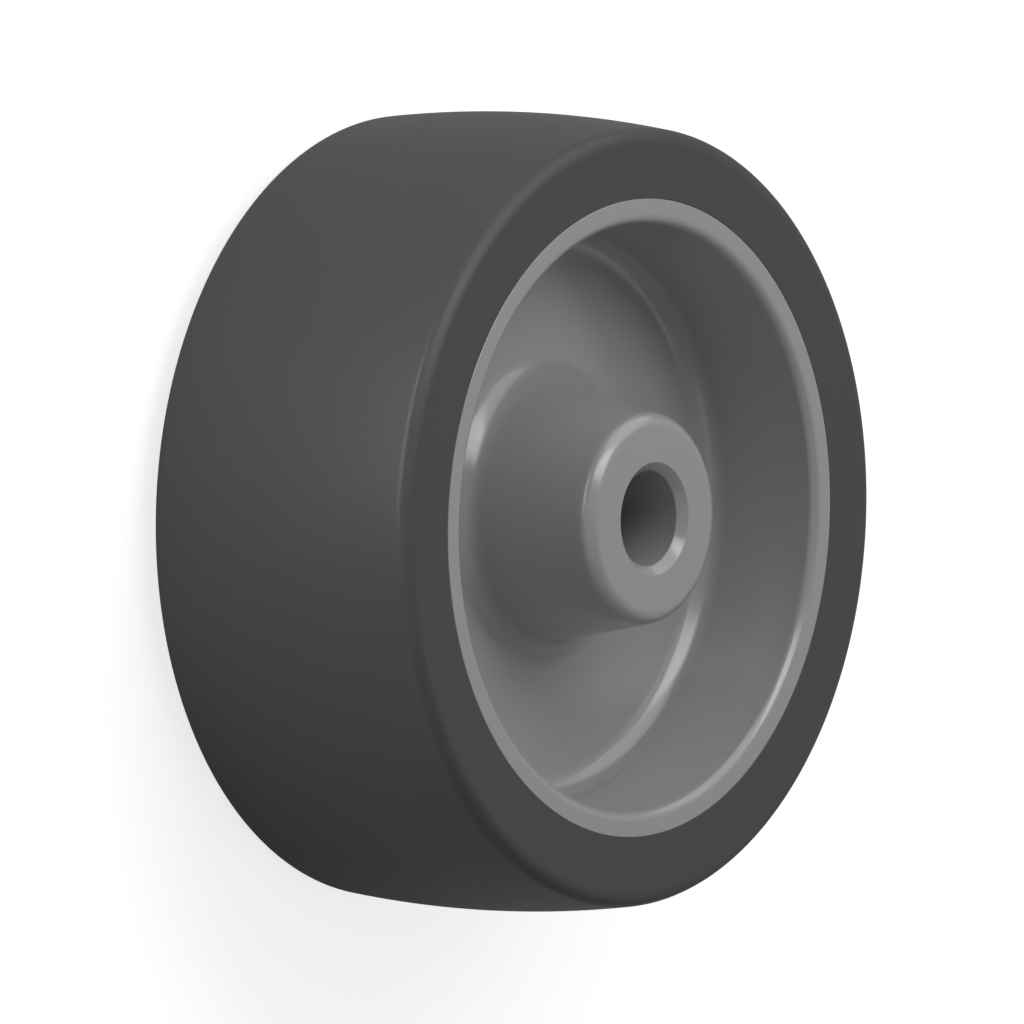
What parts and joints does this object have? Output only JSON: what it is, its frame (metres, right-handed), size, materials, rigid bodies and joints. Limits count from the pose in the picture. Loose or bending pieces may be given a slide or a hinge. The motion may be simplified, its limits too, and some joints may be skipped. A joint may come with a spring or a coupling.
{
  "type": "trolley wheel",
  "caption": "Trolley wheel: a soft crowned tyre moulded round a rigid plastic centre with a closed web, a tapered hub and a plain axle bore.",
  "frame": {"origin": "middle of the bore, half way between the two end faces of the hub", "axes": "+Z along the bore, which is the axis the wheel turns about; the two faces of the wheel are alike"},
  "size_m": [0.1, 0.1, 0.0448],
  "materials": {
    "tyre_rubber": "matt moulded rubber",
    "centre_plastic": "satin moulded polypropylene"
  },
  "bodies": {
    "root": {"tyre": "tyre_rubber", "wheel_centre": "centre_plastic"}
  },
  "joints": []
}
